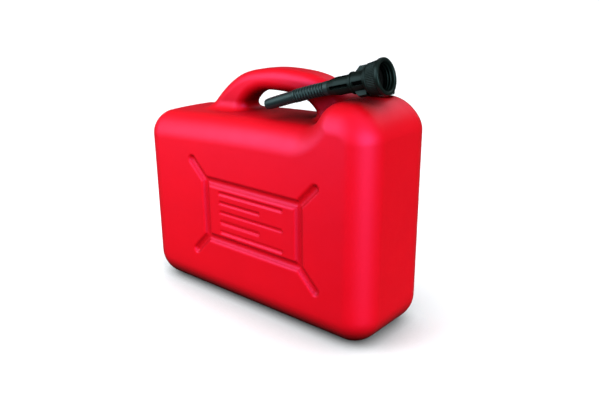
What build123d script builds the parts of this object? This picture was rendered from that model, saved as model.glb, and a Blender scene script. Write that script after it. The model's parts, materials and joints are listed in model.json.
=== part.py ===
from build123d import *
import math
import os

os.makedirs("parts", exist_ok=True)

# A blow-moulded plastic jerry can with its pouring spout stowed on top.
# Millimetres, +Z up, +X along the can towards its raised block, origin at the middle of its base.

# Tank
LENGTH = 460.0
WIDTH = 162.0
EDGE_RADIUS = 40.0
LEFT_TOP = 294.0
MIDDLE_TOP = 307.0
RIGHT_TOP = 309.5
BLOCK_TOP = 348.0
BLOCK_FOOT_X = 122.0
BLOCK_SHOULDER_X = 139.0
BLOCK_CORNER = 46.0
SHOULDER_RADIUS = 42.0
NOTCH_RADIUS = 21.0
DECK_RADIUS = 400.0
WALL = 3.0

# Handle: an arch from the low deck to the raised block, set back to leave room for the spout
HANDLE_Y = 11.0
HANDLE_WIDTH = 48.0
HANDLE_ROUNDING = 13.0
HANDLE_WALL = 4.0
HANDLE_BURIED_Z = 280.0

# Frame of grooves, with a short arm at each corner, in both long faces
PANEL_X = 16.4
PANEL_Z = 153.0
PANEL_HALF_X = 97.0
PANEL_HALF_Z = 47.8
ARM_HALF_X = 126.7
ARM_HALF_Z = 77.5
GROOVE_WIDTH = 12.0
GROOVE_DEPTH = 1.8

# Filler neck and its cap, behind the spout's collar
NECK_X = 169.0
NECK_Y = 32.0
NECK_BORE = 13.5
NECK_RADIUS = 15.2
THREAD_RADIUS = 16.6
THREAD_RIB = 1.6
THREAD_PITCH = 4.4
NECK_HEIGHT = 17.0
NECK_FOOT = 338.0
CAP_RADIUS = 21.0
CAP_SKIRT_GAP = 2.0
CAP_LIP = 14.6
CAP_TOP_WALL = 2.4
DISC_THICKNESS = 2.2
GASKET_THICKNESS = 1.6
GASKET_HOLE = 13.0
DISC_RADIUS = 16.8
THREAD_GAP = 0.6
RIB_COUNT = 36
RIB_HEIGHT = 0.8
RIB_WIDTH = 1.6

# Spout: a station is a distance back from the rim of the collar's open mouth
MOUTH = Vector(215.5, -20.0, 383.6)
SPOUT_AZIMUTH = 4.9
SPOUT_PITCH = 14.3
HOSE_DROOP = 4.0
COLLAR_LIP_RADIUS = 25.0
COLLAR_FRONT_RADIUS = 22.6
COLLAR_BACK_RADIUS = 20.8
COLLAR_LENGTH = 24.0
COLLAR_LIP = 5.0
COLLAR_BORE = 19.6
COLLAR_THREAD_END = 16.4
COLLAR_RECESS = 20.1
COLLAR_WALL = 2.6
HUB_RADIUS = 16.0
RUNNING_GAP = 0.1
SNAP_RING_RADIUS = 19.2
SNAP_RING_WIDTH = 3.4
YOKE_RADIUS = 14.4
YOKE_END = 52.0
FLANGE_RADIUS = 15.2
FLANGE_WIDTH = 2.6
RETAINER_RADIUS = 18.6
LUG_RADIUS = 21.0
LUG_WIDTH = 8.0
LUG_START = 28.5
LUG_END = 41.0
LUG_RAMP_END = 47.0
LUG_ANGLES = (115.0, -65.0)
WINDOW_LENGTH = 16.0
WINDOW_WIDTH = 5.6
WINDOW_ANGLES = (-3.0, 177.0)
SLOT_COUNT = 5
SLOT_LENGTH = 30.0
SLOT_WIDTH = 4.4
SLOT_ANGLE = -3.0
SLEEVE_END = 90.0
SLEEVE_RADIUS = 12.6
SLEEVE_CONE = 13.0
SLEEVE_TIP_RADIUS = 10.2
CORE_RADIUS = 8.2
FERRULE_END = 98.0
FERRULE_RADIUS = 10.0
HOSE_RADIUS = 9.5
HOSE_ROOT_RADIUS = 8.6
HOSE_RIBS = 10
RIB_THICKNESS = 2.4
HOSE_END = 148.0
NOZZLE_LENGTH = 58.0
NOZZLE_RADIUS = 9.4
NOZZLE_BAND = 4.0
TIP_RADIUS = 8.5
PASSAGE = 6.6
GASKET_INNER = 12.0
VENT_RADIUS = 2.2
VENT_BORE = 1.3


def tilted(azimuth, pitch):
    """Unit vector that points along azimuth from +X and rises by pitch, in degrees."""
    level = math.cos(math.radians(pitch))
    return Vector(
        level * math.cos(math.radians(azimuth)),
        level * math.sin(math.radians(azimuth)),
        math.sin(math.radians(pitch)),
    )


FORWARD = tilted(SPOUT_AZIMUTH, SPOUT_PITCH)
UPWARD = tilted(SPOUT_AZIMUTH, SPOUT_PITCH + 90)
SIDEWARD = FORWARD.cross(UPWARD)
SPOUT_AXIS = Axis(MOUTH, FORWARD)
# Local x runs along the spout towards its mouth and local y is the radius.
SPOUT_PROFILE = Plane(origin=MOUTH, x_dir=FORWARD, z_dir=SIDEWARD)

NOZZLE_PITCH = SPOUT_PITCH + HOSE_DROOP
NOZZLE_FORWARD = tilted(SPOUT_AZIMUTH, NOZZLE_PITCH)
HOSE_BEND_RADIUS = (HOSE_END - FERRULE_END) / math.radians(HOSE_DROOP)
HOSE_START_POINT = MOUTH - FORWARD * FERRULE_END
BEND_CENTRE = HOSE_START_POINT - UPWARD * HOSE_BEND_RADIUS
HOSE_END_POINT = BEND_CENTRE + tilted(SPOUT_AZIMUTH, NOZZLE_PITCH + 90) * HOSE_BEND_RADIUS
NOZZLE_AXIS = Axis(HOSE_END_POINT, NOZZLE_FORWARD)
NOZZLE_PROFILE = Plane(origin=HOSE_END_POINT, x_dir=NOZZLE_FORWARD, z_dir=SIDEWARD)


def across(station):
    """Plane square to the spout at a station, local x to the far side and local y upward."""
    return Plane(origin=MOUTH - FORWARD * station, x_dir=-SIDEWARD, z_dir=FORWARD)


def lengthwise(angle):
    """Plane through the spout's axis, local x along it, local y outward at angle above the near side."""
    turned = math.radians(angle)
    outward = SIDEWARD * math.cos(turned) + UPWARD * math.sin(turned)
    return Plane(origin=MOUTH, x_dir=FORWARD, z_dir=FORWARD.cross(outward))


def side_points(inset):
    """Corners of the tank seen from the side, inset from its skin, each with its radius."""
    left = -LENGTH / 2 + inset
    right = LENGTH / 2 - inset
    lean_x = BLOCK_SHOULDER_X - BLOCK_FOOT_X
    lean_z = BLOCK_TOP - RIGHT_TOP
    shift = inset * (math.hypot(lean_x, lean_z) - lean_x) / lean_z
    return [
        ((left, inset), EDGE_RADIUS + 1 - inset),
        ((right, inset), EDGE_RADIUS + 1 - inset),
        ((right, BLOCK_TOP - inset), BLOCK_CORNER - inset),
        ((BLOCK_SHOULDER_X + shift, BLOCK_TOP - inset), SHOULDER_RADIUS - inset),
        ((BLOCK_FOOT_X + shift, RIGHT_TOP - inset), NOTCH_RADIUS + inset),
        ((0, MIDDLE_TOP - inset), DECK_RADIUS),
        ((left, LEFT_TOP - inset), EDGE_RADIUS + 1 - inset),
    ]


def tank_shape(inset):
    """The closed tank without handle or neck."""
    corners = side_points(inset)
    side = Plane.XZ.offset(WIDTH / 2 - inset)
    with BuildPart() as shape:
        with BuildSketch(side) as outline:
            with BuildLine():
                Polyline(*[point for point, _ in corners], close=True)
            make_face()
            for point, radius in corners:
                fillet(outline.vertices().sort_by_distance(point)[0], radius)
        extrude(amount=-(WIDTH - 2 * inset))
        sides = shape.faces().filter_by(Axis.Y).sort_by(Axis.Y)
        fillet(sides[0].edges() + sides[-1].edges(), EDGE_RADIUS - inset)
    return shape.part


def handle_shape(inset):
    """The arch, with both ends running down inside the tank."""
    near_face = Plane.XZ.offset(HANDLE_WIDTH / 2 - HANDLE_Y - inset)
    with BuildPart() as shape:
        with BuildSketch(near_face):
            with BuildLine():
                outer = Spline(
                    (-150 + inset, HANDLE_BURIED_Z),
                    (-118 + inset, 321 - inset),
                    (-68 + inset / 2, 360 - inset),
                    (-11, 374.5 - inset),
                    (50, 375.5 - inset),
                    (96 - inset / 2, 368 - inset),
                    (135 - inset, 349 - inset),
                    (168 - inset, HANDLE_BURIED_Z + 35),
                )
                inner = Spline(
                    (113 + inset, HANDLE_BURIED_Z),
                    (84 + inset, 320 + inset),
                    (55, 336.8 + inset),
                    (12, 341.5 + inset),
                    (-28, 338 + inset),
                    (-57 - inset, 319 + inset),
                    (-78 - inset, HANDLE_BURIED_Z),
                )
                Line(outer @ 1, inner @ 0)
                Line(inner @ 1, outer @ 0)
            make_face()
        extrude(amount=-(HANDLE_WIDTH - 2 * inset))
        sides = shape.faces().filter_by(Axis.Y).sort_by(Axis.Y)
        curves = (sides[0].edges() + sides[-1].edges()).filter_by(GeomType.BSPLINE)
        fillet(curves, HANDLE_ROUNDING - inset)
    return shape.part


def panel_corners(half_x, half_z):
    return [(PANEL_X + sx * half_x, PANEL_Z + sz * half_z) for sx, sz in ((-1, -1), (1, -1), (1, 1), (-1, 1))]


def save(builder, name):
    builder.part.label = name
    export_step(builder.part, f"parts/{name}.step")


def revolved(profile, plane, axis):
    """A solid of revolution about axis from (along, radius) corners drawn on plane."""
    with BuildPart() as shape:
        with BuildSketch(plane):
            with BuildLine():
                Polyline(*profile, close=True)
            make_face()
        revolve(axis=axis)
    return shape.part


# The tank: hollow body with its handle, grooves and threaded neck in one moulding
outer_tank = tank_shape(0)
inner_tank = tank_shape(WALL)
outer_handle = handle_shape(0)
inner_handle = handle_shape(HANDLE_WALL)
frame = panel_corners(PANEL_HALF_X, PANEL_HALF_Z)
arm_tips = panel_corners(ARM_HALF_X, ARM_HALF_Z)

with BuildPart() as tank_body:
    add(outer_tank)
    add(outer_handle)
    add(inner_tank, mode=Mode.SUBTRACT)
    add(inner_handle, mode=Mode.SUBTRACT)
    with BuildSketch(Plane.XY.offset(NECK_FOOT)):
        with Locations((NECK_X, NECK_Y)):
            Circle(NECK_RADIUS)
    extrude(amount=BLOCK_TOP + NECK_HEIGHT - NECK_FOOT)
    with BuildSketch(Plane.XY.offset(NECK_FOOT - 8)):
        with Locations((NECK_X, NECK_Y)):
            Circle(NECK_BORE)
    extrude(amount=BLOCK_TOP + NECK_HEIGHT - NECK_FOOT + 8, mode=Mode.SUBTRACT)
    for turn in range(3):
        with BuildSketch(Plane.XY.offset(BLOCK_TOP + 4 + turn * THREAD_PITCH)):
            with Locations((NECK_X, NECK_Y)):
                Circle(THREAD_RADIUS)
                Circle(NECK_RADIUS - 0.5, mode=Mode.SUBTRACT)
        extrude(amount=THREAD_RIB)
    for face_y, inward in ((-WIDTH / 2, 1), (WIDTH / 2, -1)):
        with BuildSketch(Plane.XZ.offset(-face_y)):
            with BuildLine():
                Polyline(*frame, close=True)
            trace(line_width=GROOVE_WIDTH)
            for corner, tip in zip(frame, arm_tips):
                with BuildLine():
                    Line(corner, tip)
                trace(line_width=GROOVE_WIDTH)
                with Locations(tip):
                    Circle(GROOVE_WIDTH / 2)
        extrude(amount=-inward * GROOVE_DEPTH, mode=Mode.SUBTRACT)
save(tank_body, "tank_body")

# Cap: gasket and closing disc on the neck, held by a knurled screw ring that turns round the disc
neck_top = BLOCK_TOP + NECK_HEIGHT
cap_base = BLOCK_TOP + CAP_SKIRT_GAP
disc_base = neck_top + GASKET_THICKNESS
ring_underside = disc_base + DISC_THICKNESS + RUNNING_GAP

with BuildPart() as cap_gasket:
    with BuildSketch(Plane.XY.offset(neck_top)):
        with Locations((NECK_X, NECK_Y)):
            Circle(DISC_RADIUS - 0.4)
            Circle(GASKET_HOLE, mode=Mode.SUBTRACT)
    extrude(amount=GASKET_THICKNESS)
save(cap_gasket, "cap_gasket")

with BuildPart() as cap_disc:
    with BuildSketch(Plane.XY.offset(disc_base)):
        with Locations((NECK_X, NECK_Y)):
            Circle(DISC_RADIUS)
    extrude(amount=DISC_THICKNESS)
    with BuildSketch(Plane.XY.offset(disc_base + DISC_THICKNESS)):
        with Locations((NECK_X, NECK_Y)):
            Circle(CAP_LIP - RUNNING_GAP)
    extrude(amount=CAP_TOP_WALL)
    with BuildSketch(Plane.XY.offset(disc_base + DISC_THICKNESS + CAP_TOP_WALL)):
        with Locations((NECK_X, NECK_Y)):
            Circle(CAP_LIP - 3)
            Circle(CAP_LIP - 5, mode=Mode.SUBTRACT)
    extrude(amount=-0.8, mode=Mode.SUBTRACT)
save(cap_disc, "cap_disc")

with BuildPart() as cap_ring:
    with BuildSketch(Plane.XY.offset(cap_base)):
        with Locations((NECK_X, NECK_Y)):
            Circle(CAP_RADIUS)
            with PolarLocations(CAP_RADIUS, RIB_COUNT):
                Rectangle(2 * RIB_HEIGHT, RIB_WIDTH)
    extrude(amount=ring_underside + CAP_TOP_WALL - cap_base)
    with BuildSketch(Plane.XY.offset(cap_base)):
        with Locations((NECK_X, NECK_Y)):
            Circle(THREAD_RADIUS + THREAD_GAP)
    extrude(amount=ring_underside - cap_base, mode=Mode.SUBTRACT)
    with BuildSketch(Plane.XY.offset(cap_base)):
        with Locations((NECK_X, NECK_Y)):
            Circle(CAP_LIP)
    extrude(amount=ring_underside + CAP_TOP_WALL - cap_base, mode=Mode.SUBTRACT)
save(cap_ring, "cap_ring")

# Collar: the knurled screw ring with a flared lip, open towards the mouth
collar_profile = [
    (0, COLLAR_BORE + 1),
    (0, COLLAR_LIP_RADIUS - 1),
    (-1, COLLAR_LIP_RADIUS),
    (-COLLAR_LIP, COLLAR_LIP_RADIUS),
    (-COLLAR_LIP - 1, COLLAR_FRONT_RADIUS),
    (-COLLAR_LENGTH + 1.5, COLLAR_BACK_RADIUS),
    (-COLLAR_LENGTH, COLLAR_BACK_RADIUS - 1.5),
    (-COLLAR_LENGTH, HUB_RADIUS + RUNNING_GAP),
    (-COLLAR_LENGTH + COLLAR_WALL, HUB_RADIUS + RUNNING_GAP),
    (-COLLAR_LENGTH + COLLAR_WALL, COLLAR_RECESS),
    (-COLLAR_THREAD_END, COLLAR_RECESS),
    (-COLLAR_THREAD_END, COLLAR_BORE),
    (-1, COLLAR_BORE),
]
with BuildPart() as spout_collar:
    add(revolved(collar_profile, SPOUT_PROFILE, SPOUT_AXIS))
    for i in range(RIB_COUNT):
        with BuildSketch(lengthwise(i * 360 / RIB_COUNT)):
            with BuildLine():
                Polyline(
                    (-COLLAR_LIP - 0.5, COLLAR_FRONT_RADIUS - 1),
                    (-COLLAR_LIP - 0.5, COLLAR_FRONT_RADIUS + RIB_HEIGHT),
                    (-COLLAR_LENGTH + 2, COLLAR_BACK_RADIUS + RIB_HEIGHT),
                    (-COLLAR_LENGTH + 2, COLLAR_BACK_RADIUS - 0.6),
                    close=True,
                )
            make_face()
        extrude(amount=RIB_WIDTH / 2, both=True)
save(spout_collar, "spout_collar")

# Yoke: flanged hub that the collar turns on, with two lugs and two windows
retainer_back = COLLAR_LENGTH - COLLAR_WALL - RUNNING_GAP
retainer_front = retainer_back - 2.4
yoke_body = COLLAR_LENGTH + RUNNING_GAP + SNAP_RING_WIDTH
yoke_profile = [
    (-retainer_front, GASKET_INNER),
    (-retainer_front, RETAINER_RADIUS),
    (-retainer_back, RETAINER_RADIUS),
    (-retainer_back, HUB_RADIUS),
    (-yoke_body, HUB_RADIUS),
    (-yoke_body, YOKE_RADIUS),
    (-YOKE_END + FLANGE_WIDTH, YOKE_RADIUS),
    (-YOKE_END + FLANGE_WIDTH, FLANGE_RADIUS),
    (-YOKE_END, FLANGE_RADIUS),
    (-YOKE_END, CORE_RADIUS),
    (-YOKE_END + 3, CORE_RADIUS),
    (-YOKE_END + 5, GASKET_INNER),
]
with BuildPart() as spout_yoke:
    add(revolved(yoke_profile, SPOUT_PROFILE, SPOUT_AXIS))
    for angle in LUG_ANGLES:
        with BuildSketch(lengthwise(angle)):
            with BuildLine():
                Polyline(
                    (-LUG_START, GASKET_INNER + 1),
                    (-LUG_START, LUG_RADIUS),
                    (-LUG_END, LUG_RADIUS),
                    (-LUG_RAMP_END, YOKE_RADIUS),
                    (-LUG_RAMP_END, GASKET_INNER + 1),
                    close=True,
                )
            make_face()
        extrude(amount=LUG_WIDTH / 2, both=True)
    for angle in WINDOW_ANGLES:
        with BuildSketch(lengthwise(angle)):
            with Locations((-YOKE_END + 5 + WINDOW_LENGTH / 2, YOKE_RADIUS)):
                Rectangle(WINDOW_LENGTH, 2 * (YOKE_RADIUS - GASKET_INNER) + 1)
        extrude(amount=WINDOW_WIDTH / 2, both=True, mode=Mode.SUBTRACT)
save(spout_yoke, "spout_yoke")

snap_ring_profile = [
    (-COLLAR_LENGTH - RUNNING_GAP, HUB_RADIUS),
    (-COLLAR_LENGTH - RUNNING_GAP, SNAP_RING_RADIUS - 0.8),
    (-COLLAR_LENGTH - RUNNING_GAP - 0.8, SNAP_RING_RADIUS),
    (-yoke_body + 0.8, SNAP_RING_RADIUS),
    (-yoke_body, SNAP_RING_RADIUS - 0.8),
    (-yoke_body, HUB_RADIUS),
]
with BuildPart() as spout_snap_ring:
    add(revolved(snap_ring_profile, SPOUT_PROFILE, SPOUT_AXIS))
save(spout_snap_ring, "spout_snap_ring")

spout_gasket_profile = [
    (-retainer_front, GASKET_INNER),
    (-retainer_front, RETAINER_RADIUS),
    (-retainer_front + 2.0, RETAINER_RADIUS),
    (-retainer_front + 2.0, GASKET_INNER),
]
with BuildPart() as spout_gasket:
    add(revolved(spout_gasket_profile, SPOUT_PROFILE, SPOUT_AXIS))
save(spout_gasket, "spout_gasket")

# Strainer: a perforated disc in the hub, just behind the gasket
with BuildPart() as spout_strainer:
    with BuildSketch(across(retainer_front + 3.0)):
        Circle(GASKET_INNER)
        with HexLocations(1.7, 5, 5):
            Circle(1.0, mode=Mode.SUBTRACT)
        with Locations((0, 0)):
            Circle(VENT_RADIUS + 1.0)
            Circle(VENT_RADIUS, mode=Mode.SUBTRACT)
    extrude(amount=1.2)
save(spout_strainer, "spout_strainer")

# Pour core: the tube that runs from the yoke through the sleeve into the ferrule
core_profile = [
    (-YOKE_END + 3, PASSAGE),
    (-YOKE_END + 3, CORE_RADIUS),
    (-FERRULE_END + 5, CORE_RADIUS),
    (-FERRULE_END + 5, PASSAGE),
]
with BuildPart() as spout_core:
    add(revolved(core_profile, SPOUT_PROFILE, SPOUT_AXIS))
save(spout_core, "spout_core")

# Sleeve: guard round the core with lengthwise slots, narrowing in a cone towards the ferrule
sleeve_profile = [
    (-YOKE_END, CORE_RADIUS),
    (-YOKE_END, SLEEVE_RADIUS),
    (-SLEEVE_END + SLEEVE_CONE, SLEEVE_RADIUS),
    (-SLEEVE_END, SLEEVE_TIP_RADIUS),
    (-SLEEVE_END, CORE_RADIUS),
]
with BuildPart() as spout_sleeve:
    add(revolved(sleeve_profile, SPOUT_PROFILE, SPOUT_AXIS))
    for i in range(SLOT_COUNT):
        with BuildSketch(lengthwise(SLOT_ANGLE + i * 360 / SLOT_COUNT)):
            with Locations((-YOKE_END - 3 - SLOT_LENGTH / 2, SLEEVE_RADIUS)):
                Rectangle(SLOT_LENGTH, 2 * (SLEEVE_RADIUS - CORE_RADIUS))
        extrude(amount=SLOT_WIDTH / 2, both=True, mode=Mode.SUBTRACT)
save(spout_sleeve, "spout_sleeve")

# Ferrule: the cone that grips the hose's end
ferrule_profile = [
    (-SLEEVE_END, CORE_RADIUS),
    (-SLEEVE_END, SLEEVE_TIP_RADIUS + 0.2),
    (-FERRULE_END + 1, FERRULE_RADIUS),
    (-FERRULE_END, FERRULE_RADIUS - 0.6),
    (-FERRULE_END, PASSAGE),
    (-FERRULE_END + 5, PASSAGE),
    (-FERRULE_END + 5, CORE_RADIUS),
]
with BuildPart() as spout_ferrule:
    add(revolved(ferrule_profile, SPOUT_PROFILE, SPOUT_AXIS))
save(spout_ferrule, "spout_ferrule")

# Hose: a ribbed tube that bends down gently about the bend's centre
bend_axis = Axis(BEND_CENTRE, SIDEWARD)
rib_step = HOSE_DROOP / HOSE_RIBS


def across_hose(angle):
    """Plane square to the hose where it has turned by angle from the ferrule."""
    outward = tilted(SPOUT_AZIMUTH, SPOUT_PITCH + 90 + angle)
    forward = tilted(SPOUT_AZIMUTH, SPOUT_PITCH + angle)
    return Plane(origin=BEND_CENTRE + outward * HOSE_BEND_RADIUS, x_dir=-SIDEWARD, z_dir=forward)


with BuildPart() as spout_hose:
    with BuildSketch(across_hose(0)):
        Circle(HOSE_ROOT_RADIUS)
        Circle(PASSAGE, mode=Mode.SUBTRACT)
    revolve(axis=bend_axis, revolution_arc=HOSE_DROOP)
    for i in range(HOSE_RIBS):
        with BuildSketch(across_hose((i + 0.74) * rib_step)):
            Circle(HOSE_RADIUS)
            Circle(HOSE_ROOT_RADIUS - 0.4, mode=Mode.SUBTRACT)
        extrude(amount=RIB_THICKNESS)
save(spout_hose, "spout_hose")

# Nozzle: a tapered pouring tip with a gripping band at its root
nozzle_profile = [
    (0, PASSAGE),
    (0, NOZZLE_RADIUS - 0.4),
    (-0.4, NOZZLE_RADIUS),
    (-NOZZLE_BAND, NOZZLE_RADIUS),
    (-NOZZLE_BAND - 0.8, NOZZLE_RADIUS - 0.5),
    (-NOZZLE_LENGTH + 1.2, TIP_RADIUS),
    (-NOZZLE_LENGTH, TIP_RADIUS - 1.0),
    (-NOZZLE_LENGTH, PASSAGE),
]
with BuildPart() as spout_nozzle:
    add(revolved(nozzle_profile, NOZZLE_PROFILE, NOZZLE_AXIS))
save(spout_nozzle, "spout_nozzle")

# Vent tube: a thin pipe from the strainer through the core
with BuildPart() as spout_vent_tube:
    with BuildSketch(across(FERRULE_END - 4)):
        Circle(VENT_RADIUS)
        Circle(VENT_BORE, mode=Mode.SUBTRACT)
    extrude(amount=FERRULE_END - 4 - retainer_front)
save(spout_vent_tube, "spout_vent_tube")
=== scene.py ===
import json
import math

import bpy
import numpy as np
import openvdb
from mathutils import Matrix, Vector


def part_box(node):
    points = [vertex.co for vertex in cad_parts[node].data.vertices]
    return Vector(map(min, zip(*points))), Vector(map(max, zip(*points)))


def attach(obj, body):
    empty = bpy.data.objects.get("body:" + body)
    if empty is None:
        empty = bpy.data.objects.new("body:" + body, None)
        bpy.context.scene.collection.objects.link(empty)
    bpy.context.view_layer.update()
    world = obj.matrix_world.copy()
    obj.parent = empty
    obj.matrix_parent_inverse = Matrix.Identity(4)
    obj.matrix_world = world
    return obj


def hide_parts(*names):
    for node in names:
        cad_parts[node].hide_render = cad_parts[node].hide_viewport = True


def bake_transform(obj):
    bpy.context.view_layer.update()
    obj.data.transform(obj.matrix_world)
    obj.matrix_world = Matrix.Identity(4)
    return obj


# A red blow-moulded jerry can with its pouring spout stowed on top.
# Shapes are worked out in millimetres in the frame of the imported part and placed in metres.
MM = 0.001

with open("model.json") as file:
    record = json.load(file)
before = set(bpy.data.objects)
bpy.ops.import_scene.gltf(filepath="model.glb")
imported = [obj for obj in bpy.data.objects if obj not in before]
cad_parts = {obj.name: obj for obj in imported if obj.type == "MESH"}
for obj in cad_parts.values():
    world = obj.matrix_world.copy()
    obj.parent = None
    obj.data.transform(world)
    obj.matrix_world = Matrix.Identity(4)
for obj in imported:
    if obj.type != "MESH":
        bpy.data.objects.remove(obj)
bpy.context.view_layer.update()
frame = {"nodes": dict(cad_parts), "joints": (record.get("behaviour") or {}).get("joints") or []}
joints = {joint["name"]: joint for joint in frame["joints"]}
body_low, body_high = (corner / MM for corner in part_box("tank_body"))

# Tank
HALF_LENGTH = (body_high.x - body_low.x) / 2
HALF_WIDTH = (body_high.y - body_low.y) / 2
EDGE_RADIUS = 40.0
LEFT_CORNER = 37.0
BASE_CORNER = 45.0
BASE_RECESS_HALF = (176.0, 34.0)
BASE_RECESS_CORNER = 16.0
DECK_MIDDLE = 307.0
DECK_SLOPE_LOW = 13.0 / 230.0
DECK_SLOPE_HIGH = 2.5 / 131.0
DECK_EASE = 0.6
BLOCK_TOP = 348.0
BLOCK_FOOT = (125.0, 309.5)
BLOCK_SHOULDER = (137.0, 348.0)
SHOULDER_FULLNESS = 2.6
BLOCK_CORNER = 54.0
SHOULDER_RADIUS = 30.0
NOTCH_RADIUS = 21.0
CROWN = 3.0
BASE_RECESS = 2.4
RECESS_TOP_RADIUS = 2.0
RECESS_RIM_RADIUS = 3.0

# The crown, a gentle doming across the width, sets in between these heights.
CROWN_START = 150.0
CROWN_RISE = 120.0

# Handle, whose ends run down inside the tank
HANDLE_FOOT_Z = 284.0
HANDLE_Y = 11.0
HANDLE_HALF_WIDTH = 24.0
HANDLE_ROUNDING = 16.0
HANDLE_BLEND = 16.0
HANDLE_OUTER = (
    (-155, 276),
    (-123, 321),
    (-71, 360),
    (-11, 374.3),
    (50, 375.4),
    (96, 368),
    (135, 349),
    (185, 292),
)
HANDLE_INNER = ((120, 276), (84, 320), (55, 336.8), (12, 341.5), (-28, 338), (-57, 319), (-79, 276))

# Grooves in both long faces
PANEL_X = 16.4
PANEL_Z = 153.0
PANEL_HALF = (97.0, 47.8)
ARM_HALF = (126.7, 77.5)
GROOVE_RADIUS = 7.2
GROOVE_DEPTH = 5.2
GROOVE_SOFTNESS = 2.4

# Graduation marks pressed into the near face between its grooves, every other one short
MARK_LEFT = -48.0
MARK_LENGTH = 128.0
SHORT_MARK_LENGTH = 82.0
MARK_STEP = 16.0
MARK_ROWS = 2
MARK_RADIUS = 4.0
MARK_DEPTH = 1.9
MARK_SOFTNESS = 0.8

# Filler neck and cap
NECK_RADIUS = 15.2
THREAD_HEIGHT = 1.3
THREAD_LEAD = 4.4
NECK_BORE = 13.5
NECK_FOOT = 338.0
NECK_TOP = 365.0
WELL_DEPTH = 44.0
WELL_FOOT_RADIUS = 4.0
WELL_RIM_RADIUS = 1.0

# Spout, whose stations run back from the collar's open rim
RIM_FROM_HINGE = 22.0
FERRULE_END = 98.0
HOSE_END = 148.0
HOSE_DROOP = 4.0
HOSE_ROOT = 8.2
HOSE_CREST = 9.7
HOSE_RIBS = 10
PASSAGE = 6.6


def unit(vector):
    """The vector at length one."""
    return np.array(vector) / np.linalg.norm(vector)


turn = joints["collar_turn"]
FORWARD = unit(turn["axis"])
NEAR = unit(np.cross(FORWARD, (0.0, 0.0, 1.0)))
UP = np.cross(NEAR, FORWARD)
MOUTH = np.array(turn["pos_m"]) / MM + FORWARD * RIM_FROM_HINGE
NECK_AXIS = np.array(joints["cap_ring_turn"]["pos_m"]) / MM


# ---------------------------------------------------------------- distance fields
def round_join(a, b, radius):
    """Union of two distance fields with a concave fillet."""
    reach = np.hypot(np.maximum(radius - a, 0), np.maximum(radius - b, 0))
    return np.maximum(np.minimum(a, b), radius) - reach


def round_meet(a, b, radius, fullness=2):
    """Intersection of two distance fields with a rounded edge, squarer where fullness is above 2."""
    p, q = np.maximum(a + radius, 0), np.maximum(b + radius, 0)
    reach = np.hypot(p, q) if fullness == 2 else (p**fullness + q**fullness) ** (1 / fullness)
    return np.minimum(np.maximum(a, b), -radius) + reach


SPAN_POINTS = 10


def smooth_curve(points):
    """Points along a Catmull-Rom curve through the given points."""
    p = np.array(points, float)
    p = np.vstack([2 * p[0] - p[1], p, 2 * p[-1] - p[-2]])
    t = np.linspace(0, 1, SPAN_POINTS, endpoint=False)[:, None]
    rows = []
    for a, b, c, d in zip(p[:-3], p[1:-2], p[2:-1], p[3:]):
        square, cube = 2 * a - 5 * b + 4 * c - d, 3 * b - a - 3 * c + d
        rows.append(0.5 * (2 * b + (c - a) * t + square * t**2 + cube * t**3))
    return np.vstack([*rows, p[-2][None]])


def polygon_distance(points, x, z):
    """Signed distance to a closed outline, negative inside."""
    best = np.full(x.shape, np.inf)
    inside = np.zeros(x.shape, bool)
    for (ax, az), (bx, bz) in zip(points, np.roll(points, -1, axis=0)):
        ex, ez = bx - ax, bz - az
        t = np.clip(((x - ax) * ex + (z - az) * ez) / (ex * ex + ez * ez), 0, 1)
        best = np.minimum(best, (x - ax - t * ex) ** 2 + (z - az - t * ez) ** 2)
        if bz != az:
            crosses = (az > z) != (bz > z)
            inside ^= crosses & (x < ax + (z - az) * ex / ez)
    best = np.sqrt(best)
    return np.where(inside, -best, best)


HANDLE_OUTLINE = np.vstack([smooth_curve(HANDLE_OUTER), smooth_curve(HANDLE_INNER)])
lean = unit((BLOCK_SHOULDER[0] - BLOCK_FOOT[0], BLOCK_SHOULDER[1] - BLOCK_FOOT[1]))


def segment_distance(x, z, start, end):
    """Distance in a plane to the line between two points."""
    ex, ez = end[0] - start[0], end[1] - start[1]
    t = np.clip(((x - start[0]) * ex + (z - start[1]) * ez) / (ex * ex + ez * ez), 0, 1)
    return np.hypot(x - start[0] - t * ex, z - start[1] - t * ez)


def groove_distance(x, z):
    """Distance in the plane of a long face to the centre line of its grooves."""
    ax, az = np.abs(x - PANEL_X), np.abs(z - PANEL_Z)
    qx, qz = ax - PANEL_HALF[0], az - PANEL_HALF[1]
    outside = np.hypot(np.maximum(qx, 0), np.maximum(qz, 0))
    frame_line = np.abs(outside + np.minimum(np.maximum(qx, qz), 0))
    return np.minimum(frame_line, segment_distance(ax, az, PANEL_HALF, ARM_HALF))


def mark_distance(x, z):
    """Distance in the plane of the near face to the centre line of the nearest graduation mark."""
    row = np.clip(np.round((z - PANEL_Z) / MARK_STEP), -MARK_ROWS, MARK_ROWS)
    length = np.where(row % 2 == 0, MARK_LENGTH, SHORT_MARK_LENGTH)
    return np.hypot(x - MARK_LEFT - np.clip(x - MARK_LEFT, 0, length), z - PANEL_Z - row * MARK_STEP)


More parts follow.
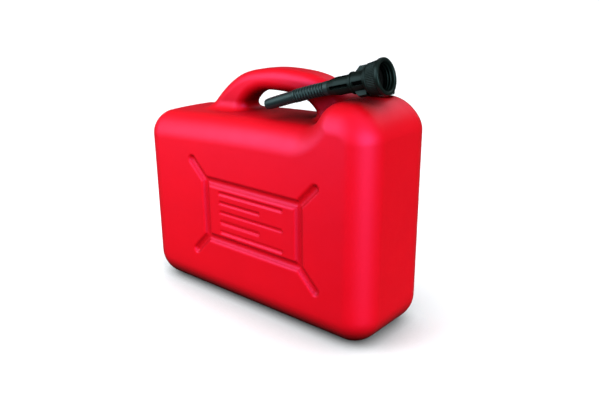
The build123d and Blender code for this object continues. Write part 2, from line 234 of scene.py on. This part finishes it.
def tank_distance(x, y, z):
    """The tank with its sloping deck and raised block."""
    rise = np.clip((z - CROWN_START) / CROWN_RISE, 0, 1)
    zc = z + CROWN * (y / HALF_WIDTH) ** 2 * rise * rise * (3 - 2 * rise)
    mean_slope = (DECK_SLOPE_LOW + DECK_SLOPE_HIGH) / 2
    bend = (DECK_SLOPE_LOW - DECK_SLOPE_HIGH) / 2
    deck = zc - (DECK_MIDDLE + mean_slope * x - np.hypot(bend * x, DECK_EASE) + DECK_EASE)
    leaning = (x - BLOCK_FOOT[0]) * -lean[1] + (zc - BLOCK_FOOT[1]) * lean[0]
    block = round_meet(leaning, zc - BLOCK_TOP, SHOULDER_RADIUS, SHOULDER_FULLNESS)
    top = round_join(deck, block, NOTCH_RADIUS)
    side = round_meet(top, x - HALF_LENGTH, BLOCK_CORNER)
    side = round_meet(side, -HALF_LENGTH - x, LEFT_CORNER)
    side = round_meet(side, -z, BASE_CORNER)
    return round_meet(side, np.abs(y) - HALF_WIDTH, EDGE_RADIUS)


def can_distance(x, y, z):
    """Outer skin of the can: tank, raised block, handle, grooves, base recess and filler well."""
    d = tank_distance(x, y, z)
    high = z > HANDLE_FOOT_Z
    if high.any():
        xh, yh, zh = (np.broadcast_to(v, d.shape)[high] for v in (x, y, z))
        arch = polygon_distance(HANDLE_OUTLINE, xh, zh)
        handle = round_meet(arch, np.abs(yh - HANDLE_Y) - HANDLE_HALF_WIDTH, HANDLE_ROUNDING)
        d[high] = round_join(d[high], handle, HANDLE_BLEND)
        from_neck = np.hypot(xh - NECK_AXIS[0], yh - NECK_AXIS[1])
        well = round_meet(from_neck - NECK_BORE, NECK_TOP - WELL_DEPTH - zh, WELL_FOOT_RADIUS)
        d[high] = round_meet(d[high], -well, WELL_RIM_RADIUS)
    groove_centre = HALF_WIDTH + GROOVE_RADIUS - GROOVE_DEPTH
    channel = np.hypot(groove_distance(x, z), np.abs(y) - groove_centre) - GROOVE_RADIUS
    d = round_meet(d, -channel, GROOVE_SOFTNESS)
    mark_centre = HALF_WIDTH + MARK_RADIUS - MARK_DEPTH
    mark = np.hypot(mark_distance(x, z), -y - mark_centre) - MARK_RADIUS
    d = round_meet(d, -mark, MARK_SOFTNESS)
    half_x, half_y = BASE_RECESS_HALF
    recess_plan = round_meet(np.abs(x) - half_x, np.abs(y) - half_y, BASE_RECESS_CORNER)
    recess = round_meet(recess_plan, z - BASE_RECESS, RECESS_TOP_RADIUS)
    return round_meet(d, -recess, RECESS_RIM_RADIUS)


SLOPE_STEP = 0.05
LEAST_SLOPE = 0.05


def gradient(field, p):
    """Slope of a distance field at each point."""
    rows = []
    for axis in range(3):
        shift = np.zeros(3)
        shift[axis] = SLOPE_STEP
        rows.append((field(*(p + shift).T) - field(*(p - shift).T)) / (2 * SLOPE_STEP))
    return np.stack(rows, 1)


def skin(name, field, low, high, pitch):
    """A smooth mesh of the surface where the field is zero."""
    axes = [np.arange(a, b + pitch, pitch) for a, b in zip(low, high)]
    shape = tuple(len(a) for a in axes)
    values = np.empty(shape, np.float32)
    for i, x in enumerate(axes[0]):
        values[i] = field(*np.broadcast_arrays(x, axes[1][:, None], axes[2][None, :]))
    band = 3 * pitch
    grid = openvdb.FloatGrid(background=band)
    grid.copyFromArray(np.clip(values, -band, band))
    points, quads = grid.convertToQuads()
    p = np.array(points, float) * pitch + np.array([a[0] for a in axes])
    # A few steps along the slope bring the points onto the surface.
    for _ in range(3):
        g = gradient(field, p)
        p -= (field(*p.T) / np.maximum((g * g).sum(1), LEAST_SLOPE))[:, None] * g
    quads = np.array(quads)[:, ::-1]
    mesh = bpy.data.meshes.new(name)
    mesh.from_pydata((p * MM).tolist(), [], quads.tolist())
    mesh.update()
    g = gradient(field, p)
    normals = g / np.maximum(np.linalg.norm(g, axis=1), 1e-6)[:, None]
    facing = np.zeros(len(quads) * 3)
    mesh.polygons.foreach_get("normal", facing)
    if (facing.reshape(-1, 3) * normals[quads[:, 0]]).sum() < 0:
        mesh.flip_normals()
    mesh.shade_smooth()
    mesh.normals_split_custom_set_from_vertices(normals.tolist())
    thing = bpy.data.objects.new(name, mesh)
    bpy.context.scene.collection.objects.link(thing)
    return thing


# ---------------------------------------------------------------- turned pieces
# A station is a distance in millimetres back from the collar's open rim, or up the neck.
def mesh_piece(name, points, faces):
    """A smooth-shaded mesh object from points in millimetres."""
    mesh = bpy.data.meshes.new(name)
    mesh.from_pydata([tuple(MM * c for c in p) for p in points], [], faces)
    mesh.update()
    mesh.shade_smooth()
    thing = bpy.data.objects.new(name, mesh)
    bpy.context.scene.collection.objects.link(thing)
    return thing


ROUNDING_STEPS = 5
NEARLY_STRAIGHT = 1.55
LONGEST_CUT = 0.49


def rounded(corners):
    """Outline through (along, radius, rounding) corners, closed, with each corner rounded."""
    p = np.array([c[:2] for c in corners], float)
    out = []
    for i, corner in enumerate(corners):
        radius = corner[2]
        before, after = p[i - 1] - p[i], p[(i + 1) % len(p)] - p[i]
        la, lb = np.linalg.norm(before), np.linalg.norm(after)
        ua, ub = before / la, after / lb
        cosine = np.clip(ua @ ub, -1, 1)
        half = math.acos(cosine) / 2
        if radius <= 0 or half > NEARLY_STRAIGHT:
            out.append(p[i])
            continue
        cut = min(radius / math.tan(half), LONGEST_CUT * la, LONGEST_CUT * lb)
        radius = cut * math.tan(half)
        centre = p[i] + unit(ua + ub) * radius / math.sin(half)
        start, end = p[i] + ua * cut - centre, p[i] + ub * cut - centre
        a0 = math.atan2(start[1], start[0])
        a1 = math.atan2(end[1], end[0])
        sweep = (a1 - a0 + math.pi) % (2 * math.pi) - math.pi
        for k in range(ROUNDING_STEPS + 1):
            a = a0 + sweep * k / ROUNDING_STEPS
            out.append(centre + radius * np.array([math.cos(a), math.sin(a)]))
    return np.array(out)


def dense(outline, step):
    """The same closed outline with its long spans cut into short ones."""
    rows = []
    for a, b in zip(outline, np.roll(outline, -1, axis=0)):
        count = max(int(np.hypot(*(b - a)) / step), 1)
        rows.extend(a + (b - a) * k / count for k in range(count))
    return np.array(rows)


def straight(origin, back, near, up):
    """Path of a straight turned piece: centre and the two directions of its ring at each station."""

    def path(along):
        flat = np.zeros_like(along)[:, None]
        return origin + along[:, None] * back, flat + near, flat + up

    return path


def lathe(name, outline, path, segments, shape=None):
    """Turns a closed (along, radius) outline round a path. Shape may change the radius by angle."""
    angles = np.arange(segments) * 2 * math.pi / segments
    along = outline[:, 0][:, None] + 0 * angles
    radius = outline[:, 1][:, None] + 0 * angles
    if shape is not None:
        radius = shape(along, radius, angles[None, :])
    centre, near, up = path(outline[:, 0])
    ring = np.cos(angles)[None, :, None] * near[:, None] + np.sin(angles)[None, :, None] * up[:, None]
    points = centre[:, None] + radius[..., None] * ring
    n = len(outline)
    faces = []
    for i in range(n):
        for j in range(segments):
            k, m = (i + 1) % n, (j + 1) % segments
            faces.append((i * segments + j, i * segments + m, k * segments + m, k * segments + j))
    thing = mesh_piece(name, points.reshape(-1, 3), faces)
    centre = sum((Vector(f.center) for f in thing.data.polygons), Vector()) / len(faces)
    outermost = max(thing.data.polygons, key=lambda f: (f.center - centre).length)
    if outermost.normal.dot(outermost.center - centre) < 0:
        thing.data.flip_normals()
    return thing


RIB_POWER = 1.5
THREAD_STEEPNESS = 2.2
THREAD_GROUND = 0.9


def ribs(count, height, start, end, beyond):
    """Raises ribs between two stations, fading over 1 mm, on walls whose radius lies beyond a given one."""

    def shape(along, radius, angles):
        fade = np.clip(along - start, 0, 1) * np.clip(end - along, 0, 1)
        wave = (0.5 + 0.5 * np.cos(count * angles)) ** RIB_POWER
        return radius + height * fade * wave * (radius > beyond)

    return shape


def thread(height, lead, start, end, low, high):
    """Raises a screw thread between two stations on walls whose radius lies between low and high."""

    def shape(along, radius, angles):
        fade = np.clip((along - start) / lead, 0, 1) * np.clip((end - along) / lead, 0, 1)
        turn = 0.5 + 0.5 * np.cos(2 * math.pi * along / lead - angles)
        crest = np.clip(THREAD_STEEPNESS * turn - THREAD_GROUND, 0, 1)
        wall = (radius > low) & (radius < high)
        return radius + height * np.minimum(fade * 2, 1) * crest * wall

    return shape


# ---------------------------------------------------------------- materials
# Noise scales count cells per metre.
CLOUD_SCALE = 14.0
GLOSS_SCALE = 60.0
GLOSS_SWING = 0.05
GRAIN_SCALE = 2200.0
GRAIN_STRENGTH = 0.6

# The ambient occlusion value from which no shade is painted, and the share of the colour that the painted
# shade leaves in the deepest hollow
OPEN_AT = 0.94
PAINTED_CREASE_TONE = 0.08

# Tints of the highlights
TEAL = (0.5, 0.95, 1.0)
PINK = (1.0, 0.25, 1.0)


def noise(tree, place, scale, detail):
    """Output of a noise texture laid on by object coordinates."""
    texture = tree.nodes.new("ShaderNodeTexNoise")
    texture.inputs["Scale"].default_value = scale
    texture.inputs["Detail"].default_value = detail
    tree.links.new(place.outputs["Object"], texture.inputs["Vector"])
    return texture.outputs["Fac"]


def mapped(tree, value, to_low, to_high, from_low=0.0, from_high=1.0):
    """Output of a node that maps a value from one range to another."""
    spread = tree.nodes.new("ShaderNodeMapRange")
    spread.inputs["From Min"].default_value = from_low
    spread.inputs["From Max"].default_value = from_high
    spread.inputs["To Min"].default_value = to_low
    spread.inputs["To Max"].default_value = to_high
    tree.links.new(value, spread.inputs["Value"])
    return spread.outputs["Result"]


def openness(tree, distance, low):
    """How open the surface is within a distance in millimetres: 0 deep in a hollow, 1 in the open. It sets
    where shade is painted.
    """
    hollow = tree.nodes.new("ShaderNodeAmbientOcclusion")
    hollow.inputs["Distance"].default_value = distance * MM
    hollow.samples = 8
    return mapped(tree, hollow.outputs["AO"], 0.0, 1.0, low, OPEN_AT)


def paint_crease_shade(tree, shader, tones, colour, specular, distance, low):
    """Paints shade: takes colour and highlight down where the surface is closed in."""
    fall = openness(tree, distance, low)
    fall.node.name = "openness"
    shade = tree.nodes.new("ShaderNodeMix")
    shade.data_type = "RGBA"
    shade.inputs["A"].default_value = (*[c * PAINTED_CREASE_TONE for c in colour], 1)
    tree.links.new(fall, shade.inputs["Factor"])
    tree.links.new(tones, shade.inputs["B"])
    tree.links.new(shade.outputs["Result"], shader.inputs["Base Color"])
    tree.links.new(mapped(tree, fall, 0.0, specular), shader.inputs["Specular IOR Level"])


def plastic(
    name,
    colour,
    roughness,
    specular,
    mottle=0.05,
    grain=0.03,
    edge=0.0,
    tint=(1, 1, 1),
    crease_shade=None,
):
    """Moulded plastic: faint mottling, uneven gloss and fine grain.

    Sharp-edged pieces get an edge rounding in millimetres. Shade painted into hollows is set by the
    distance in millimetres and the openness at which the colour is darkest.
    """
    material = bpy.data.materials.new(name)
    material.use_nodes = True
    tree = material.node_tree
    nodes, link = tree.nodes, tree.links.new
    shader = nodes["Principled BSDF"]
    shader.inputs["Specular IOR Level"].default_value = specular
    shader.inputs["Specular Tint"].default_value = (*tint, 1)
    place = nodes.new("ShaderNodeTexCoord")

    tones = nodes.new("ShaderNodeValToRGB")
    dark, light = tones.color_ramp.elements
    dark.position, light.position = 0.3, 0.7
    dark.color = (*[c * (1 - mottle) for c in colour], 1)
    light.color = (*[c * (1 + mottle) for c in colour], 1)
    link(noise(tree, place, CLOUD_SCALE, 4.0), tones.inputs["Fac"])
    link(tones.outputs["Color"], shader.inputs["Base Color"])

    gloss = noise(tree, place, GLOSS_SCALE, 3.0)
    link(mapped(tree, gloss, roughness - GLOSS_SWING, roughness + GLOSS_SWING), shader.inputs["Roughness"])

    bump = nodes.new("ShaderNodeBump")
    bump.inputs["Strength"].default_value = GRAIN_STRENGTH
    bump.inputs["Distance"].default_value = grain * MM
    link(noise(tree, place, GRAIN_SCALE, 2.0), bump.inputs["Height"])
    link(bump.outputs["Normal"], shader.inputs["Normal"])
    if edge > 0:
        bevel = nodes.new("ShaderNodeBevel")
        bevel.samples = 4
        bevel.inputs["Radius"].default_value = edge * MM
        link(bevel.outputs["Normal"], bump.inputs["Normal"])
    # Painted shade: colour and highlight fall where the surface is closed in.
    if crease_shade:
        paint_crease_shade(tree, shader, tones.outputs["Color"], colour, specular, *crease_shade)
    return material


def dress(thing, material):
    """Gives a piece its only material."""
    thing.data.materials.clear()
    thing.data.materials.append(material)


def black_plastic(name, colour, roughness, specular, edge=0.0, crease_shade=None):
    """Black moulding with a cool highlight."""
    return plastic(name, colour, roughness, specular, edge=edge, tint=TEAL, crease_shade=crease_shade)


# Where a material below is given a pair of shade numbers, it paints shade into its hollows: under the
# spout, round the handle's roots, between the hose's ribs.
red = plastic(
    "red_polyethylene",
    (0.60, 0.0004, 0.0015),
    0.49,
    0.55,
    mottle=0.03,
    tint=PINK,
    crease_shade=(60.0, 0.3),
)
black = black_plastic("black_moulding", (0.003, 0.006, 0.005), 0.42, 0.16, edge=0.5, crease_shade=(12.0, 0.3))
collar_black = black_plastic("black_collar", (0.003, 0.006, 0.005), 0.42, 0.18, crease_shade=(26.0, 0.45))
hose_black = black_plastic("black_hose", (0.007, 0.013, 0.014), 0.40, 0.34, crease_shade=(6.0, 0.45))
nozzle_black = black_plastic("black_nozzle", (0.006, 0.012, 0.013), 0.42, 0.3)
grey = black_plastic("dark_grey_ferrule", (0.010, 0.017, 0.018), 0.42, 0.3, edge=0.4)
cap_black = black_plastic("cap_black", (0.006, 0.009, 0.009), 0.45, 0.3, edge=0.4)
dull = plastic("dull_core", (0.004, 0.005, 0.005), 0.6, 0.15, edge=0.3)
rubber = plastic("seal_rubber", (0.006, 0.007, 0.007), 0.7, 0.1, edge=0.3, crease_shade=(20.0, 0.3))

# ---------------------------------------------------------------- the can
PITCH = 2.6
MARGIN = 6.0
can = skin(
    "can_body",
    can_distance,
    (-HALF_LENGTH - MARGIN, -HALF_WIDTH - MARGIN, -MARGIN),
    (HALF_LENGTH + MARGIN, HALF_WIDTH + MARGIN, body_high.z + 2 * MARGIN),
    PITCH,
)
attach(can, "tank")
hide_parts("tank_body")
dress(can, red)

# ---------------------------------------------------------------- the spout's turned pieces
spout_path = straight(MOUTH, -FORWARD, NEAR, UP)
collar_outline = rounded(
    [
        (0, 20.8, 0.6),
        (0, 24.2, 1.0),
        (1.2, 25.0, 1.0),
        (5.2, 25.0, 1.0),
        (6.4, 23.0, 1.2),
        (21.6, 21.2, 0.6),
        (22.2, 21.9, 0.5),
        (24.0, 21.4, 0.7),
        (24.0, 16.1, 0.3),
        (21.4, 16.1, 0.3),
        (21.4, 20.1, 0.6),
        (16.4, 20.1, 0.3),
        (16.4, 19.7, 0.3),
        (1.2, 19.7, 0.8),
    ]
)
knurl = ribs(count=64, height=0.6, start=6.6, end=21.4, beyond=20.5)
inner_thread = thread(height=-1.0, lead=THREAD_LEAD, start=2.5, end=16.0, low=19.0, high=20.0)
collar = lathe(
    "collar",
    dense(collar_outline, 0.6),
    spout_path,
    384,
    lambda along, radius, angles: inner_thread(along, knurl(along, radius, angles), angles),
)
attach(collar, "collar")
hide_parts("spout_collar")
dress(collar, collar_black)

bend_radius = (HOSE_END - FERRULE_END) / math.radians(HOSE_DROOP)
bend_centre = MOUTH - FORWARD * FERRULE_END - UP * bend_radius


def hose_path(along):
    """Path round the hose's gentle bend and straight on beyond its end."""
    bent = np.clip(along - FERRULE_END, 0, HOSE_END - FERRULE_END)
    turned = (bent / bend_radius)[:, None]
    up = UP * np.cos(turned) - FORWARD * np.sin(turned)
    ahead = FORWARD * np.cos(turned) + UP * np.sin(turned)
    centre = bend_centre + up * bend_radius - ahead * (along - FERRULE_END - bent)[:, None]
    return centre, np.zeros_like(up) + NEAR, up


STATIONS_PER_RIB = 16
hose_stations = np.linspace(FERRULE_END, HOSE_END, HOSE_RIBS * STATIONS_PER_RIB + 1)
ribs_passed = HOSE_RIBS * (hose_stations - FERRULE_END) / (HOSE_END - FERRULE_END)

# A wave cut off above and below leaves flat crests and roots.
crest = np.clip(0.5 - 0.75 * np.cos(2 * math.pi * ribs_passed), 0, 1)
hose_outline = np.vstack(
    [
        np.stack([hose_stations, HOSE_ROOT + (HOSE_CREST - HOSE_ROOT) * crest], 1),
        [(HOSE_END, PASSAGE), ((HOSE_END + FERRULE_END) / 2, PASSAGE), (FERRULE_END, PASSAGE)],
    ]
)
hose = lathe("hose", hose_outline, hose_path, 96)
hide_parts("spout_hose")
dress(hose, hose_black)
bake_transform(hose)

nozzle_outline = rounded(
    [
        (HOSE_END + 0.1, 6.6, 0.1),
        (HOSE_END + 0.1, 9.5, 0.5),
        (HOSE_END + 4.2, 9.5, 0.6),
        (HOSE_END + 5.0, 8.9, 0.4),
        (HOSE_END + 34.0, 8.7, 0.0),
        (HOSE_END + 51.0, 8.5, 1.5),
        (HOSE_END + 58.0, 7.9, 1.2),
        (HOSE_END + 58.0, 6.7, 0.5),
    ]
)
nozzle = lathe("nozzle", dense(nozzle_outline, 2.0), hose_path, 96)
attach(nozzle, "nozzle")
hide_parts("spout_nozzle")
dress(nozzle, nozzle_black)

neck_outline = rounded(
    [
        (NECK_FOOT, NECK_BORE, 0.0),
        (NECK_FOOT, NECK_RADIUS, 0.0),
        (NECK_TOP, NECK_RADIUS, 0.9),
        (NECK_TOP, NECK_BORE, 0.6),
    ]
)
x_way, y_way, z_way = np.eye(3)
neck = lathe(
    "neck",
    dense(neck_outline, 0.5),
    straight(NECK_AXIS * (1, 1, 0), z_way, x_way, y_way),
    144,
    thread(height=THREAD_HEIGHT, lead=THREAD_LEAD, start=349.5, end=364.0, low=15.0, high=15.5),
)
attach(neck, "tank")
dress(neck, red)

for node, material, slot in (
    ("spout_yoke", black, "spout_black"),
    ("spout_snap_ring", black, "spout_black"),
    ("spout_gasket", rubber, "seal_rubber"),
    ("spout_strainer", dull, "strainer_dark"),
    ("spout_core", dull, "core_dark"),
    ("spout_sleeve", black, "spout_black"),
    ("spout_ferrule", grey, "ferrule_grey"),
    ("spout_vent_tube", dull, "core_dark"),
    ("cap_disc", cap_black, "cap_black"),
    ("cap_gasket", rubber, "seal_rubber"),
    ("cap_ring", cap_black, "cap_black"),
):
    dress(frame["nodes"][node], material)

# ---------------------------------------------------------------- floor, light and camera
FLOOR_REACH = 30.0
FLOOR_GLOW = 0.42
WORLD_LIGHT = 0.09
SUN_DISTANCE = 3.0
CAN_MIDDLE = Vector((0.0, 0.0, 0.2))
floor_mesh = bpy.data.meshes.new("floor")
floor_corners = [(x * FLOOR_REACH, y * FLOOR_REACH, 0) for x, y in ((-1, -1), (1, -1), (1, 1), (-1, 1))]
floor_mesh.from_pydata(floor_corners, [], [(0, 1, 2, 3)])
floor = bpy.data.objects.new("floor", floor_mesh)
bpy.context.scene.collection.objects.link(floor)
# The floor glows to stay evenly white, and its colour and glow fall where the can closes it in: a painted
# contact shadow.
paper = plastic("floor_paper", (0.78, 0.82, 0.85), 0.9, 0.05, mottle=0.004, grain=0.0, crease_shade=(170.0, 0.05))
paper_nodes = paper.node_tree.nodes
paper_shader = paper_nodes["Principled BSDF"]
glow_with_painted_shadow = mapped(paper.node_tree, paper_nodes["openness"].outputs["Result"], 0.0, FLOOR_GLOW)
paper.node_tree.links.new(glow_with_painted_shadow, paper_shader.inputs["Emission Strength"])
paper_shader.inputs["Emission Color"].default_value = (1, 1, 1, 1)
floor.data.materials.append(paper)
floor.visible_glossy = False
floor.visible_diffuse = False

world = bpy.data.worlds.new("studio")
bpy.context.scene.world = world
world.use_nodes = True
background = world.node_tree.nodes["Background"]
background.inputs["Color"].default_value = (1.0, 1.0, 1.0, 1)
background.inputs["Strength"].default_value = WORLD_LIGHT


def hang(name, lamp, place, target):
    """Puts a lamp in the scene at a place in metres, turned to a target."""
    thing = bpy.data.objects.new(name, lamp)
    bpy.context.scene.collection.objects.link(thing)
    thing.location = place
    thing.rotation_mode = "QUATERNION"
    thing.rotation_quaternion = (target - place).to_track_quat("-Z", "Y")


def soft_light(name, towards, power, spread):
    """A distant soft source: its direction, its irradiance and its angle across in degrees."""
    lamp = bpy.data.lights.new(name, "SUN")
    lamp.energy = power
    lamp.angle = math.radians(spread)
    hang(name, lamp, Vector(towards).normalized() * SUN_DISTANCE, Vector())


def soft_box(name, towards, distance, size, power):
    """A square soft box near the can: its direction, distance, side and irradiance at the can."""
    lamp = bpy.data.lights.new(name, "AREA")
    lamp.shape = "SQUARE"
    lamp.size = size
    lamp.energy = power * math.pi * distance**2
    hang(name, lamp, CAN_MIDDLE + Vector(towards).normalized() * distance, CAN_MIDDLE)


soft_box("front_box", (-0.50, -0.74, 0.50), 1.15, 0.95, 3.6)
soft_light("corner_light", (0.84, -0.48, 0.22), 5.4, 60)
soft_light("top_light", (0.30, -0.05, 1.0), 0.65, 60)
soft_light("back_light", (0.0, 0.75, 0.68), 0.6, 40)

CAMERA_PLACE = Vector((0.6856, -0.74517, 0.50569))
CAMERA_YAW = -0.7075
CAMERA_PITCH = 0.3263
CAMERA_ROLL = 0.0079
LENS = 39.52


def camera_axes(yaw, pitch_down, roll):
    """The camera's right, up and backward directions, from its angles in radians."""
    right = Vector((math.cos(yaw), -math.sin(yaw), 0))
    level = Vector((math.sin(yaw), math.cos(yaw), 0))
    ahead = level * math.cos(pitch_down) - Vector((0, 0, math.sin(pitch_down)))
    down = ahead.cross(right)
    turned = right * math.cos(roll) + down * math.sin(roll)
    down = down * math.cos(roll) - right * math.sin(roll)
    return turned, -down, -ahead


camera_data = bpy.data.cameras.new("camera")
camera_data.sensor_width = 36.0
camera_data.lens = LENS
camera_data.clip_start = 0.01
camera = bpy.data.objects.new("camera", camera_data)
bpy.context.scene.collection.objects.link(camera)
camera_turn = Matrix(camera_axes(CAMERA_YAW, CAMERA_PITCH, CAMERA_ROLL)).transposed()
camera.matrix_world = Matrix.Translation(CAMERA_PLACE) @ camera_turn.to_4x4()
bpy.context.scene.camera = camera
bpy.context.scene.view_settings.view_transform = "Standard"
